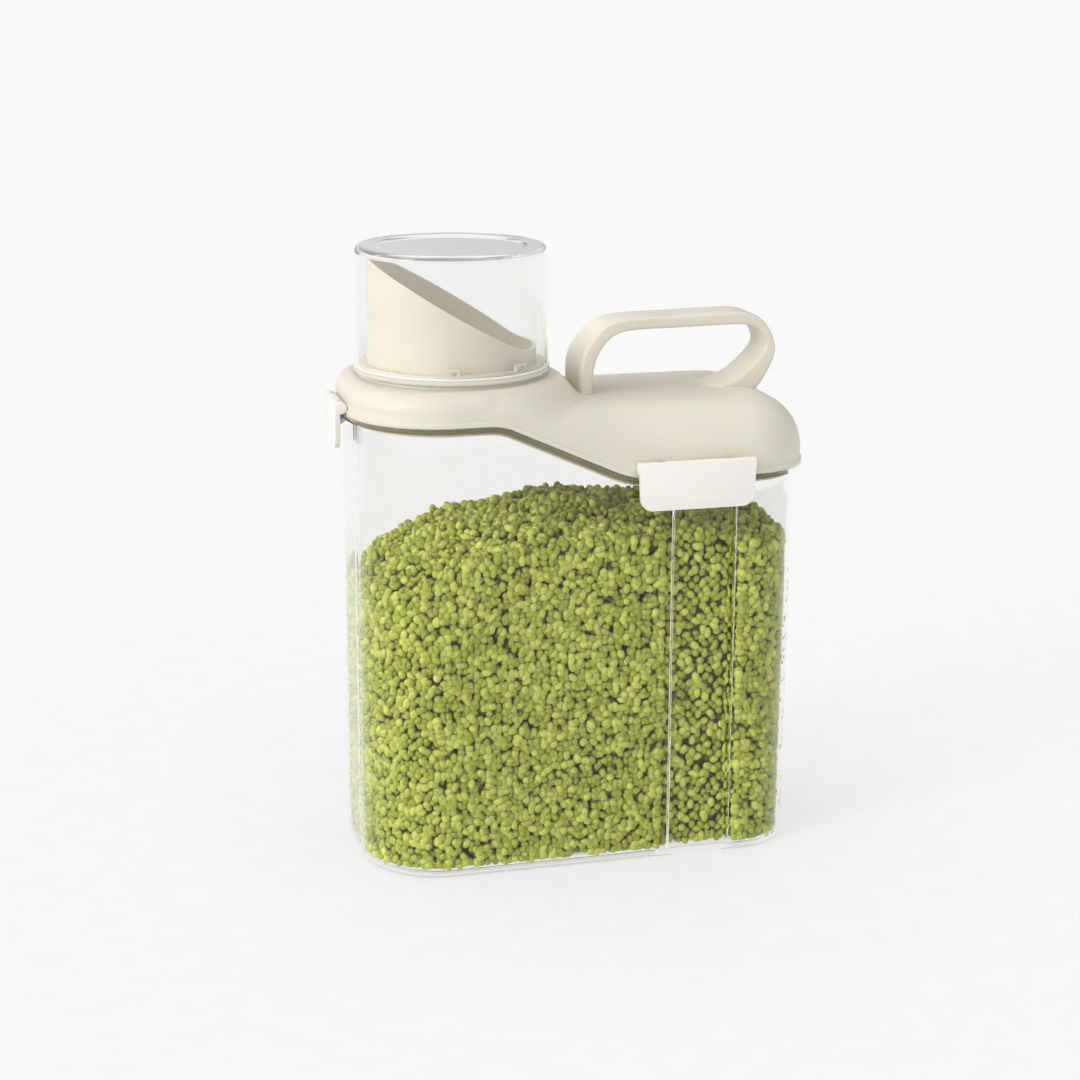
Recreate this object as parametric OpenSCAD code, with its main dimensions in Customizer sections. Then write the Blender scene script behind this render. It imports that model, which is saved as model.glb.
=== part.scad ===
// Clear storage container with a stepped lid, slanted pouring spout,
// upturned measuring cup, carry handle and three swing latches.
// Frame: origin at the middle of the underside, +Z up.
// The spout end is at -X, the handle end at +X, the front faces -Y.

/* [Container] */
// length of the base, spout end to handle end
body_len = 215; // [180:1:260]
// width of the base, front to back
body_wid = 106; // [96:1:130]
// plan corner radius at the spout end
spout_corner = 39; // [30:0.5:45]
// plan corner radius at the handle end
handle_corner = 29; // [24:0.5:40]
// wall thickness of the clear moulding
wall = 2.2; // [1.6:0.1:3]
// thickness of the floor
floor_t = 3.2; // [2.6:0.1:5]
// radius along the bottom edge
base_r = 3; // [2:0.5:6]
// outward lean of the walls, in degrees
draft = 0.3; // [0:0.1:1]

/* [Stepped rim] */
// rim height at the spout end
rim_high = 222.5; // [200:1:240]
// rim height at the handle end
rim_low = 193; // [170:1:210]
// where the rim starts to fall
step_start = -46; // [-55:1:-35]
// where the rim is level again
step_end = 19; // [5:1:20]
// how far the rim flange stands out from the base outline
flange_out = 4.9; // [4:0.1:6]
// thickness of the rim flange
flange_t = 2; // [1.6:0.1:4]

/* [Grip recess] */
// spout side of the recess in the front and back wall
grip_x0 = 40; // [30:1:50]
// handle side of the recess
grip_x1 = 70; // [60:1:75]
// depth of the recess at the base
grip_depth = 3; // [1:0.5:5]
// height of the recess
grip_top = 182; // [100:1:183]

/* [Lid] */
// how far the lid skirt stands out from the base outline
lid_out = 4; // [3.6:0.1:5]
// wall thickness of the lid
lid_t = 2; // [1.6:0.1:2.6]
// height of the round shoulder under the spout
tower_top = 238.2; // [232:0.2:240]
// rounding of that shoulder
tower_r = 9; // [6:0.5:10]
// height of the deck that carries the handle
deck_top = 226.5; // [218:1:228]
// rounding of the deck's edges
deck_r = 26; // [14:0.5:28]
// fillet where the shoulder meets the deck
saddle_r = 4; // [2:0.5:8]

/* [Spout and cup] */
// axis of the spout, neck and cup
spout_x = -57.5; // [-62:0.5:-56]
// outer radius of the pouring tube
tube_r = 40.8; // [36:0.1:42]
// wall of the pouring tube
tube_t = 1.6; // [1.2:0.1:2.4]
// height of the tube's high side
spout_tip = 294; // [280:0.5:295]
// height of the tube's low side
spout_low = 252; // [246:0.5:260]
// fall of the slanted mouth for each unit of length
mouth_fall = 0.59; // [0.4:0.01:0.7]
// outer radius of the ring that the cup fits over
ring_r = 45; // [44:0.1:46]
// turn of the mouth's low side from the handle end towards the front
mouth_turn = 10; // [0:1:20]
// outer radius of the cup at its rim
cup_rim_r = 46.9; // [46:0.1:50]
// outer radius of the cup at its base
cup_base_r = 46.3; // [44:0.1:50]
// wall of the cup
cup_t = 1.6; // [1.4:0.1:2]
// height of the upturned cup's base above the floor
cup_top = 300.5; // [296:0.5:310]

/* [Handle] */
// height of the handle's crown
handle_top = 264.4; // [258:0.2:270]
// width of the handle strap compared with the one drawn
handle_wide = 1; // [0.8:0.05:1.2]

/* [Latches] */
// width of the front and back latches
side_latch_w = 58; // [40:1:62]
// middle of the front and back latches along the body
side_latch_x = 47.5; // [45:0.5:52]
// hinge height of the side latches above the rim
side_hinge_up = 6.6; // [6:0.1:9]
// width of the latch at the spout end
end_latch_w = 32; // [24:1:40]
// hinge height of the end latch above the rim
end_hinge_up = 3.6; // [2.5:0.1:5]
// length of a latch plate below its hinge
plate_drop = 20.3; // [16:0.1:26]
// thickness of a latch plate
plate_t = 2.4; // [1.8:0.1:3]
// radius of the hinge barrel
barrel_r = 2.8; // [2.6:0.1:3.4]
// radius of the steel hinge pins
pin_r = 1; // [0.8:0.1:1.2]

/* [Hidden] */
$fn = 96;
eps = 0.01;

clear_col = "#DCE3E0";
cream_col = "#EAE6DA";
latch_col = "#F3F0E9";
seal_col = "#F7F6F2";
steel_col = "#B9BCBE";

half_l = body_len / 2;
half_w = body_wid / 2;
lean = tan(draft);
bend_top_r = 25;      // rounding of the rim where it starts to fall
bend_low_r = 60;      // rounding of the rim where it levels out
seat_gap = 0.15;      // air between the lid's edge and the rim flange
step_fall = atan((rim_high - rim_low) / (step_end - step_start));
shoulder_deep = 60;
shoulder_up = (tower_top - rim_high - 0.6) * cos(step_fall);
lap = 1;              // how far the falling shoulder starts inside the level one

neck_r = 45.2;        // outside of the lid's neck
neck_bore = 42.2;     // hole that takes the spout's plug
neck_top = tower_top + 1.4;
seal_t = 0.8;         // silicone rings under the spout and under the cup
ring_bottom = neck_top + seal_t;
band_r = 47.4;        // band that the cup stands on
band_h = 2.4;
band_top = ring_bottom + band_h;
ring_top = band_top + 1.9;
cup_rim_z = band_top + seal_t + 0.05;
tab_places = [258, 303, 78, 123];
tab_w = 6.4;
tab_h = 3;

plug_out = -2.2;      // outline of the rib that carries the gasket
plug_t = 1.8;
plug_drop = 5;
seal_out = -1.26;     // outline of the gasket's lips, just clear of the wall
seal_root = plug_out - 0.7;
peg_r = 3;            // pegs under the handle's feet
peg_places = [7, 88];
glue_gap = 0.02;      // air between the handle and the lid it is glued to

hinge_gap = 0.3;      // air between barrel and skirt
hinge_out = lid_out + barrel_r + hinge_gap;
eye_r = 1.8;          // lid eyes that hold the pin
eye_w = 4;
eye_bore = pin_r + 0.02;
run_bore = pin_r + 0.05;
pin_inset = 1;        // the pins end this far inside the barrels
plate_top = 2.7;      // the plates stand this far above their hinges
plate_taper = 1;
plate_corner = 6;
hook_reach = 4.3;     // how far the hook reaches in from the plate
hook_t = 2.2;
hook_gap = 0.7;       // air between the hook and the flange
mouth_mid = 271.4;    // height of the slanted mouth over the axis

// ---------------------------------------------------------------- helpers

// Points of one corner: q = [x, y, radius], a and b are its neighbours.
function corner(a, q, b, n) =
    let (u = [a.x - q.x, a.y - q.y] / norm([a.x - q.x, a.y - q.y]),
         v = [b.x - q.x, b.y - q.y] / norm([b.x - q.x, b.y - q.y]),
         half = acos(u * v) / 2,
         m = (u + v) / norm(u + v),
         c = [q.x, q.y] + m * q.z / sin(half),
         s = [q.x, q.y] + u * q.z / tan(half) - c,
         e = [q.x, q.y] + v * q.z / tan(half) - c,
         turn = acos(max(-1, min(1, s * e / (q.z * q.z)))))
    [for (i = [0 : n]) c + (s * sin(turn * (1 - i / n)) + e * sin(turn * i / n)) / sin(turn)];

// An open or closed line whose points carry a corner radius as third value.
function rounded(p, n = 6) =
    [for (i = [0 : len(p) - 1])
        each p[i].z > 0
            ? corner(p[(i + len(p) - 1) % len(p)], p[i], p[(i + 1) % len(p)], n)
            : [[p[i].x, p[i].y]]];

// Circles and bars of the plan outline, grown by g.
module plan(g) {
    for (s = [-1, 1]) {
        translate([spout_corner - half_l, s * (half_w - spout_corner)])
            circle(r = spout_corner + g);
        translate([half_l - handle_corner, s * (half_w - handle_corner)])
            circle(r = handle_corner + g);
    }
    translate([spout_corner - half_l, -half_w - g])
        square([body_len - spout_corner - handle_corner, body_wid + 2 * g]);
    translate([-half_l - g, spout_corner - half_w])
        square([half_l + g, body_wid - 2 * spout_corner]);
    translate([0, handle_corner - half_w])
        square([half_l + g, body_wid - 2 * handle_corner]);
}

// A ring that follows the plan between two outlines.
module plan_ring(outer, inner, z0, z1) {
    translate([0, 0, z0])
        difference() {
            linear_extrude(z1 - z0) plan(outer);
            translate([0, 0, -1]) linear_extrude(z1 - z0 + 2) plan(inner);
        }
}

// The rim line seen from the front, raised by dz.
function rim_line(dz) = rounded([
    [-half_l - 40, rim_high + dz, 0],
    [step_start, rim_high + dz, bend_top_r],
    [step_end, rim_low + dz, bend_low_r],
    [half_l + 40, rim_low + dz, 0]]);

function backwards(p) = [for (i = [len(p) - 1 : -1 : 0]) p[i]];

// Extrudes a front-view outline right through the body.
module through_y(depth) {
    rotate([90, 0, 0]) linear_extrude(depth, center = true) children();
}

module above_rim(dz) {
    through_y(body_wid + 80)
        polygon(concat(rim_line(dz), [[half_l + 40, 420], [-half_l - 40, 420]]));
}

module rim_band(z0, z1) {
    through_y(body_wid + 80)
        polygon(concat(rim_line(z0), backwards(rim_line(z1))));
}

// Half section of a rounded tub wall: radius r, leaning out, round at the foot.
module tub_section(r, h, foot) {
    polygon([[0, 0], [r - foot, 0], [r, foot], [r + lean * h, h], [0, h]]);
    translate([r - foot, foot]) circle(r = foot);
}

// The same section drawn across the tub.
module tub_across(half, h, foot) {
    polygon([[foot - half, 0], [half - foot, 0], [half, foot],
             [half + lean * h, h], [-half - lean * h, h], [-half, foot]]);
    for (s = [-1, 1]) translate([s * (half - foot), foot]) circle(r = foot);
}

// Tapered tub, set in from the outside by t.
module tub(t, h, foot) {
    rs = spout_corner - t;
    rh = handle_corner - t;
    for (s = [-1, 1]) {
        translate([spout_corner - half_l, s * (half_w - spout_corner), 0])
            rotate_extrude() tub_section(rs, h, foot);
        translate([half_l - handle_corner, s * (half_w - handle_corner), 0])
            rotate_extrude() tub_section(rh, h, foot);
    }
    translate([spout_corner - half_l, 0, 0])
        rotate([90, 0, 90])
            linear_extrude(body_len - spout_corner - handle_corner)
                tub_across(half_w - t, h, foot);
    intersection() {
        through_y(body_wid - 2 * spout_corner) tub_across(half_l - t, h, foot);
        translate([-half_l - 20, -half_w, -1]) cube([half_l + 20, body_wid, h + 2]);
    }
    intersection() {
        through_y(body_wid - 2 * handle_corner) tub_across(half_l - t, h, foot);
        translate([0, -half_w, -1]) cube([half_l + 20, body_wid, h + 2]);
    }
}

// Vertical channel in the front and back wall, grown by g.
module grip(g) {
    depth_y = half_w - grip_depth - g;
    for (s = [0, 1]) mirror([0, s, 0])
        translate([0, 0, -1])
            linear_extrude(grip_top + g + 1)
                polygon(rounded([
                    [grip_x0 - g - 1, -half_w - 12, 0],
                    [grip_x0 - g + 1.4, -depth_y, 1.5 + g],
                    [grip_x1 + g - 1.4, -depth_y, 1.5 + g],
                    [grip_x1 + g + 1, -half_w - 12, 0]]));
}

// Half section of a lid post: radius r, top at z, rounded by e.
module post_section(r, z, e) {
    polygon([[0, 0], [r, 0], [r, z - e], [r - e, z], [0, z]]);
    intersection() {
        translate([r - e, z - e]) circle(r = e);
        square([r + 1, z + 1]);
    }
}

module post_across(half, z, e) {
    polygon([[-half, 0], [half, 0], [half, z - e], [half - e, z],
             [e - half, z], [-half, z - e]]);
    for (s = [-1, 1]) translate([s * (half - e), z - e]) circle(r = e);
}

// Outside of the lid, set in by t: the round shoulder and the lower deck.
module lid_form(t) {
    g = lid_out - t;
    rt = tower_r - t;
    rd = deck_r - t;
    zt = tower_top - t;
    zd = deck_top - t;
    for (s = [-1, 1]) {
        translate([spout_corner - half_l, s * (half_w - spout_corner), 0])
            rotate_extrude() post_section(spout_corner + g, zt, rt);
        translate([half_l - handle_corner, s * (half_w - handle_corner), 0])
            rotate_extrude() post_section(handle_corner + g, zd, rd);
    }
    // straight runs of the shoulder
    translate([spout_corner - half_l, 0, 0])
        rotate([90, 0, 90])
            linear_extrude(step_start - spout_corner + half_l)
                post_across(half_w + g, zt, rt);
    intersection() {
        through_y(body_wid - 2 * spout_corner) post_across(half_l + g, zt, rt);
        translate([-half_l - 20, -half_w, -1])
            cube([half_l + 20 + spout_x, body_wid, zt + 2]);
    }
    // round side of the shoulder towards the handle
    intersection() {
        translate([spout_x, 0, 0]) rotate_extrude() post_section(half_w + g, zt, rt);
        translate([step_start - lap, -half_w - 20, -1])
            cube([half_l, body_wid + 40, zt + 2]);
    }
    // shoulder that falls with the rim down into the deck
    intersection() {
        translate([step_start, 0, rim_high])
            rotate([0, step_fall, 0])
                rotate([90, 0, 90])
                    translate([0, -shoulder_deep])
                        linear_extrude(4 * spout_corner, center = true)
                            post_across(half_w + g, shoulder_deep + shoulder_up - t, rt);
        translate([step_start - lap, -half_w - 20, 0])
            cube([2 * spout_corner, body_wid + 40, zt + 20]);
    }
    // deck
    translate([spout_x, 0, 0])
        rotate([90, 0, 90])
            linear_extrude(half_l - handle_corner - spout_x)
                post_across(half_w + g, zd, rd);
    intersection() {
        through_y(body_wid - 2 * handle_corner) post_across(half_l + g, zd, rd);
        translate([0, -half_w, -1]) cube([half_l + 20, body_wid, zd + 2]);
    }
}

// Moves a part made at the origin (axis along X, outside towards -Y)
// to one of the three hinges.
module at_front() {
    translate([side_latch_x, -half_w - hinge_out, rim_low + side_hinge_up])
        children();
}

module at_back() {
    mirror([0, 1, 0]) at_front() children();
}

module at_end() {
    translate([-half_l - hinge_out, 0, rim_high + end_hinge_up])
        rotate([0, 0, -90]) children();
}

// Where the lid's eyes stand along a hinge of width w.
function eye_places(w) = [-w * 0.3, w * 0.3];

// Wedge seen along the hinge, from angle a0 to a1, 0 pointing at the lid.
module wedge(a0, a1, reach, w) {
    rotate([90, 0, 90])
        linear_extrude(w, center = true)
            polygon([[0, 0],
                     for (i = [0 : 4]) let (a = a0 + (a1 - a0) * i / 4)
                         reach * [cos(a), sin(a)]]);
}

module hinge_cylinder(r, w) {
    rotate([0, 90, 0]) cylinder(r = r, h = w, center = true);
}

// Eyes of the lid with the arms that carry them.
module hinge_eyes(w) {
    for (x = eye_places(w)) translate([x, 0, 0])
        difference() {
            union() {
                hinge_cylinder(eye_r, eye_w);
                intersection() {
                    wedge(-30, -3, 12, eye_w);
                    translate([-eye_w, 0, -6])
                        cube([2 * eye_w, barrel_r + hinge_gap + lid_t * 0.6, 12]);
                }
            }
            hinge_cylinder(eye_bore, eye_w + 2);
        }
}

// Latch of width w with its hook hook_z below the hinge.
module latch(w, hook_z) {
    inner = plate_t - barrel_r;
    difference() {
        union() {
            hinge_cylinder(barrel_r, w);
            // plate with large round lower corners
            translate([0, inner, 0])
                rotate([90, 0, 0])
                    linear_extrude(plate_t)
                        polygon(rounded([
                            [-w / 2, plate_top, 0.8],
                            [-w / 2 + plate_taper, -plate_drop, plate_corner],
                            [w / 2 - plate_taper, -plate_drop, plate_corner],
                            [w / 2, plate_top, 0.8]], 8));
            // hook with a sloped underside
            rotate([90, 0, 90])
                linear_extrude(w - 14, center = true)
                    polygon([[inner - eps, -hook_z],
                             [inner + hook_reach, -hook_z],
                             [inner + hook_reach, -hook_z - 0.8],
                             [inner + 1, -hook_z - hook_t - 1],
                             [inner - eps, -hook_z - hook_t - 1]]);
        }
        // the pin goes in from one end, and the bore stops short of the other
        translate([-w / 2 + pin_inset - eps, 0, 0])
            rotate([0, 90, 0]) cylinder(r = run_bore, h = w);
        for (x = eye_places(w)) translate([x, 0, 0]) {
            hinge_cylinder(eye_r + 0.3, eye_w + 0.6);
            wedge(-48, 100, 8, eye_w + 0.6);
        }
    }
}

module hinge_pin(w) {
    hinge_cylinder(pin_r, w - 2 * pin_inset);
}

// ------------------------------------------------------------------ parts

module container() {
    color(clear_col)
    difference() {
        union() {
            difference() {
                tub(0, rim_high + 10, base_r);
                above_rim(0);
            }
            intersection() {
                plan_ring(flange_out, 0.5, rim_low - 10, rim_high + 10);
                rim_band(-flange_t, 0);
            }
        }
        translate([0, 0, floor_t])
            difference() {
                tub(wall, rim_high + 10, base_r - 1);
                translate([0, 0, -floor_t]) grip(wall);
            }
        grip(0);
        // shallow panel that leaves a foot all round
        translate([0, 0, -1])
            difference() {
                linear_extrude(2.2) plan(-9);
                grip(9);
            }
    }
}

module lid() {
    color(cream_col)
    difference() {
        union() {
            intersection() {
                difference() {
                    lid_form(0);
                    lid_form(lid_t);
                }
                above_rim(seat_gap);
            }
            // beaded lower edge
            intersection() {
                plan_ring(lid_out + 0.7, lid_out - 1, rim_low, rim_high + 10);
                rim_band(seat_gap, 2.6);
            }
            // rib that carries the gasket
            intersection() {
                plan_ring(plug_out, plug_out - plug_t, rim_low - 10, tower_top);
                lid_form(lid_t / 2);
                above_rim(-plug_drop);
            }
            // neck, and the fillet at the foot of the shoulder
            translate([spout_x, 0, tower_top - lid_t])
                cylinder(r = neck_r, h = neck_top - tower_top + lid_t);
            saddle(0);
            at_front() hinge_eyes(side_latch_w);
            at_back() hinge_eyes(side_latch_w);
            at_end() hinge_eyes(end_latch_w);
        }
        translate([spout_x, 0, tower_top - 20])
            cylinder(r = neck_bore, h = 40);
        // groove for the gasket
        intersection() {
            plan_ring(plug_out + 1, seal_root - eps, rim_low - 10, rim_high + 10);
            rim_band(-4.1, -0.4);
        }
        for (x = peg_places) translate([x, 0, deck_top - 10])
            cylinder(r = peg_r + 0.05, h = 20);
        at_end() bead_notch(end_latch_w);
    }
}

// Concave fillet between the round shoulder and the deck, grown by g.
module saddle(g) {
    intersection() {
        translate([spout_x, 0, deck_top - lid_t])
            rotate_extrude()
                difference() {
                    translate([half_w + lid_out - lid_t, 0])
                        square([lid_t + saddle_r, lid_t + saddle_r]);
                    translate([half_w + lid_out + saddle_r, lid_t + saddle_r])
                        circle(r = saddle_r - g);
                }
        translate([spout_x, 0, 0])
            linear_extrude(400) polygon([[0, 0], [90, -60], [90, 60]]);
    }
}

// Clears the bead behind a latch barrel.
module bead_notch(w) {
    difference() {
        translate([-w / 2 - 0.5, -1, -barrel_r - 3])
            cube([w + 1, 1 + barrel_r + hinge_gap, barrel_r + 6]);
        for (x = eye_places(w)) translate([x - eye_w / 2, -5, -9])
            cube([eye_w, 20, 20]);
    }
}

// Smooth curve through control points (Catmull-Rom), t from 0 to 1.
function blend_at(a, b, c, d, t) =
    0.5 * (2 * b + (c - a) * t + (2 * a - 5 * b + 4 * c - d) * t * t
           + (3 * b - a - 3 * c + d) * t * t * t);

function curve(p, n) =
    [for (i = [1 : len(p) - 3], k = [0 : n - 1])
        blend_at(p[i - 1], p[i], p[i + 1], p[i + 2], k / n),
     p[len(p) - 2]];

// Stations of the handle strap, from the front foot over the crown to the
// rear foot: [outer x, outer z, inner x, inner z, width].
crown = handle_top - 0.7;
foot_z = deck_top;
strap = [
    [3.6, foot_z - 20, 10.2, foot_z - 20, 29],
    [3.4, foot_z - 2, 10.2, foot_z - 2, 29],
    [2.8, foot_z + 8.5, 10.6, foot_z + 8.5, 28.5],
    [3.4, foot_z + 15, 11.6, foot_z + 14, 28],
    [5.2, crown - 16.7, 13.4, crown - 18.5, 27],
    [9.2, crown - 10.7, 17.4, crown - 12.9, 25.5],
    [14.1, crown - 5.5, 22, crown - 9.5, 24],
    [20.5, crown - 2.3, 27.5, crown - 7.8, 23],
    [32, crown - 0.8, 35, crown - 7.2, 22.5],
    [52, crown - 0.5, 52, crown - 7, 22.5],
    [74, crown, 73, crown - 6.7, 22.5],
    [87, crown - 0.1, 86, crown - 6.8, 22.5],
    [96, crown - 2.7, 93, crown - 7.7, 22.5],
    [101.8, crown - 8.7, 97.2, crown - 10.7, 22.5],
    [105, crown - 16.2, 99.3, crown - 16.2, 23],
    [104.9, crown - 22.7, 97.8, crown - 20.5, 23.5],
    [102, foot_z + 7.4, 92, foot_z + 10.7, 24],
    [97, foot_z, 84.5, foot_z + 5.5, 24],
    [90, foot_z - 6, 77.5, foot_z + 2.8, 24],
    [84, foot_z - 12, 76, foot_z - 4, 24]];
strap_edge = 0.36;    // 1 gives an oval section, 0 a square one

// One flat section with round edges, between an outer and an inner point.
function strap_ring(a, m) =
    let (mid = [a[0] + a[2], a[1] + a[3]] / 2,
         half = [a[0] - a[2], a[1] - a[3]] / 2)
    [for (k = [0 : m - 1])
        let (c = cos(360 * k / m), s = sin(360 * k / m),
             u = sign(c) * pow(abs(c), strap_edge),
             v = sign(s) * pow(abs(s), strap_edge) * a[4] / 2 * handle_wide)
        [mid.x + half.x * u, v, mid.y + half.y * u]];

module strap_loft(n, m) {
    c = curve(strap, n);
    last = len(c) - 1;
    polyhedron([for (a = c) each strap_ring(a, m)], [
        [for (k = [m - 1 : -1 : 0]) k],
        [for (k = [0 : m - 1]) last * m + k],
        for (i = [0 : last - 1], k = [0 : m - 1])
            let (k2 = (k + 1) % m)
            each [[i * m + k, (i + 1) * m + k2, (i + 1) * m + k],
                  [i * m + k, i * m + k2, (i + 1) * m + k2]]]);
}

module handle() {
    color(cream_col)
    union() {
        difference() {
            strap_loft(3, 24);
            lid_form(-glue_gap);
            saddle(glue_gap);
        }
        for (x = peg_places) translate([x, 0, deck_top - 4])
            cylinder(r = peg_r, h = 6);
    }
}

module lid_gasket() {
    color(seal_col)
    union() {
        intersection() {
            plan_ring(plug_out + 0.6, seal_root, rim_low - 10, rim_high + 10);
            rim_band(-4, -0.5);
        }
        for (z = [-3.7, -1.7]) intersection() {
            plan_ring(seal_out, plug_out, rim_low - 10, rim_high + 10);
            rim_band(z, z + 0.9);
        }
    }
}

module spout() {
    tab_mid = (ring_r + tube_r) / 2 + 1.3;
    color(cream_col)
    translate([spout_x, 0, 0])
    difference() {
        union() {
            // plug in the neck, band and ring over it, pouring tube
            translate([0, 0, tower_top - 8]) cylinder(r = neck_bore - 0.1, h = 14);
            translate([0, 0, ring_bottom]) cylinder(r = band_r - 0.4, h = band_h);
            translate([0, 0, ring_bottom + 0.4]) cylinder(r = band_r, h = band_h - 0.8);
            translate([0, 0, ring_bottom]) cylinder(r = ring_r, h = ring_top - ring_bottom);
            translate([0, 0, ring_bottom]) cylinder(r = tube_r, h = spout_tip - ring_bottom);
            for (a = tab_places) rotate(a) translate([tab_mid, 0, ring_top])
                locating_tab();
        }
        translate([0, 0, tower_top - 9]) cylinder(r = tube_r - tube_t, h = 80);
        // slanted mouth
        rotate(-mouth_turn) through_y(120) polygon(rounded([
            [-tube_r - 5, spout_tip + 20, 0],
            [-tube_r - 5, spout_tip - eps, 0],
            [mouth_x(spout_tip), spout_tip - eps, 2],
            [mouth_x(spout_low), spout_low, 14],
            [tube_r + 5, spout_low, 0],
            [tube_r + 5, spout_tip + 20, 0]]));
    }
}

// Where the slanted mouth is at height z, from the spout's axis.
function mouth_x(z) = (mouth_mid - z) / mouth_fall;

// Small staple-shaped tab that the cup slides down over.
module locating_tab() {
    difference() {
        translate([-tube_t / 2, -tab_w / 2, -0.5]) cube([tube_t, tab_w, tab_h + 0.5]);
        translate([-tube_t, -tab_w / 2 + 1.4, -1]) cube([2 * tube_t, tab_w - 2.8, tab_h]);
    }
}

module spout_seal() {
    color(seal_col)
    translate([spout_x, 0, neck_top])
        difference() {
            cylinder(r = neck_r - 0.2, h = seal_t);
            translate([0, 0, -1]) cylinder(r = neck_bore, h = 4);
        }
}

module cup_seal() {
    color(seal_col)
    translate([spout_x, 0, band_top])
        difference() {
            cylinder(r = cup_rim_r + 0.3, h = seal_t);
            translate([0, 0, -1]) cylinder(r = ring_r, h = 4);
        }
}

module measuring_cup() {
    edge = 3;
    inner_top = cup_top - 2.6;
    color(clear_col)
    translate([spout_x, 0, 0])
    rotate_extrude()
        difference() {
            union() {
                polygon([[0, cup_rim_z], [cup_rim_r, cup_rim_z],
                         [cup_base_r, cup_top - edge],
                         [cup_base_r - edge, cup_top], [0, cup_top]]);
                translate([cup_base_r - edge, cup_top - edge]) circle(r = edge);
            }
            polygon([[-1, cup_rim_z - 1], [cup_rim_r - cup_t, cup_rim_z - 1],
                     [cup_base_r - cup_t, inner_top - 1.5],
                     [cup_base_r - cup_t - 1.5, inner_top], [-1, inner_top]]);
            translate([cup_base_r - cup_t - 1.5, inner_top - 1.5]) circle(r = 1.5);
            // shallow dish in the base
            polygon([[-1, cup_top - 0.9], [35, cup_top - 0.9], [36.4, cup_top + eps],
                     [-1, cup_top + eps]]);
            translate([-60, cup_rim_z - 2]) square([60, 80]);
        }
}

module end_latch() {
    color(latch_col)
        at_end() mirror([1, 0, 0]) latch(end_latch_w, end_hinge_up + flange_t + hook_gap);
}

module front_latch() {
    color(latch_col)
        at_front() latch(side_latch_w, side_hinge_up + flange_t + hook_gap);
}

module back_latch() {
    color(latch_col)
        at_back() latch(side_latch_w, side_hinge_up + flange_t + hook_gap);
}

module end_latch_pin() {
    color(steel_col) at_end() hinge_pin(end_latch_w);
}

module front_latch_pin() {
    color(steel_col) at_front() hinge_pin(side_latch_w);
}

module back_latch_pin() {
    color(steel_col) at_back() hinge_pin(side_latch_w);
}

container();
lid();
handle();
lid_gasket();
spout();
spout_seal();
cup_seal();
measuring_cup();
end_latch();
front_latch();
back_latch();
end_latch_pin();
front_latch_pin();
back_latch_pin();
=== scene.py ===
"""Clear dry food container with a stepped cream lid, slanted spout, cup, handle and swing latches."""

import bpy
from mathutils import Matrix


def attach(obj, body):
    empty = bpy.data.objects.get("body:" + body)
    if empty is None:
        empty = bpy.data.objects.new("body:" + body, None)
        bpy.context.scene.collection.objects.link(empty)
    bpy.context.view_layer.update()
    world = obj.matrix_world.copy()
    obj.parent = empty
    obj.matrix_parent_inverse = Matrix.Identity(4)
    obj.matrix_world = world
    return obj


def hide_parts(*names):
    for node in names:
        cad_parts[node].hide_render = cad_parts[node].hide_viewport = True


bl_info = {
    "name": "Pouring food container",
    "version": (1, 0, 0),
    "blender": (4, 5, 0),
    "location": "View3D > Sidebar > Container",
    "description": "Finishes a clear food container with its lid, cup and latches, and fills it with beans",
    "category": "Object",
}

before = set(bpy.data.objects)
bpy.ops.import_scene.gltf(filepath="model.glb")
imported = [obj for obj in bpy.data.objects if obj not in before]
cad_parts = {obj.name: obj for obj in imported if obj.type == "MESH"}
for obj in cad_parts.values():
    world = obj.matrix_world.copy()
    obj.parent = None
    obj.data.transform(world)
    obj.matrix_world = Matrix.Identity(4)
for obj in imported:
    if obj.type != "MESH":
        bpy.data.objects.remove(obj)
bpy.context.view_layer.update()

import math

import bmesh
import bpy
import numpy as np
from bpy.props import FloatProperty, FloatVectorProperty, IntProperty, PointerProperty
from mathutils import Vector

MM = 0.001

# Sizes of the container's inside, in mm, as the solids have them.
BIN_LENGTH, BIN_WIDTH = 215.0, 106.0
SPOUT_CORNER, HANDLE_CORNER = 39.0, 29.0
WALL, FLOOR, LEAN = 2.2, 3.2, math.tan(math.radians(0.3))
# The grip recess in the front and back wall: its ends along x, and its floor's distance from the middle.
GRIP_FROM, GRIP_TO, GRIP_FLOOR = 40.0, 70.0, 47.8

# Sizes of the lid, in mm, as the solids have them.
RIM_HIGH, RIM_LOW, FALL_FROM, FALL_TO = 222.5, 193.0, -46.0, 19.0
BEND_HIGH, BEND_LOW = 25.0, 60.0
LID_OUT, LID_WALL, SEAT_GAP = 4.0, 2.0, 0.15
LID_HALF = BIN_WIDTH / 2 + LID_OUT
SKIRT, SKIRT_MORE = 6.7, 0.8
TOWER_TOP, TOWER_ROLL, DECK_TOP, DECK_ROLL = 238.2, 9.0, 226.5, 26.0
SPOUT_X, NECK, NECK_BORE, NECK_TOP = -57.5, 45.2, 42.2, 239.6
NECK_FILLET = 0.8

# Where the hinge pins of the latches run, in mm, and how far the eyes stand from the latch's middle.
SIDE_HINGE_X, SIDE_HINGE_Y, SIDE_HINGE_Z, SIDE_EYES = 47.5, 60.1, 199.6, 17.4
END_HINGE_X, END_HINGE_Z, END_EYES = -114.6, 226.1, 9.6

# Where, along x in mm, the shoulder under the spout turns into the deck.
ROLL_WIDENS = (-52, 22)
FOOT_SLACKENS = (SPOUT_X, -30)
FOOT_ROUNDS_OFF = (-57, -46)
JOIN_STARTS = (-60, -50)
JOIN_SOFTENS = (-58, -38)
# The shoulder's foot reaches FOOT_SLACK mm past the lid's outline and falls from there at FOOT_SLOPE. Its
# join with the deck is filled over JOIN_TIGHT mm, and over JOIN_SOFT mm more further down.
FOOT_SLACK, FOOT_SLOPE = 2.0, 1.8
JOIN_TIGHT, JOIN_SOFT = 0.3, 8.0


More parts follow.
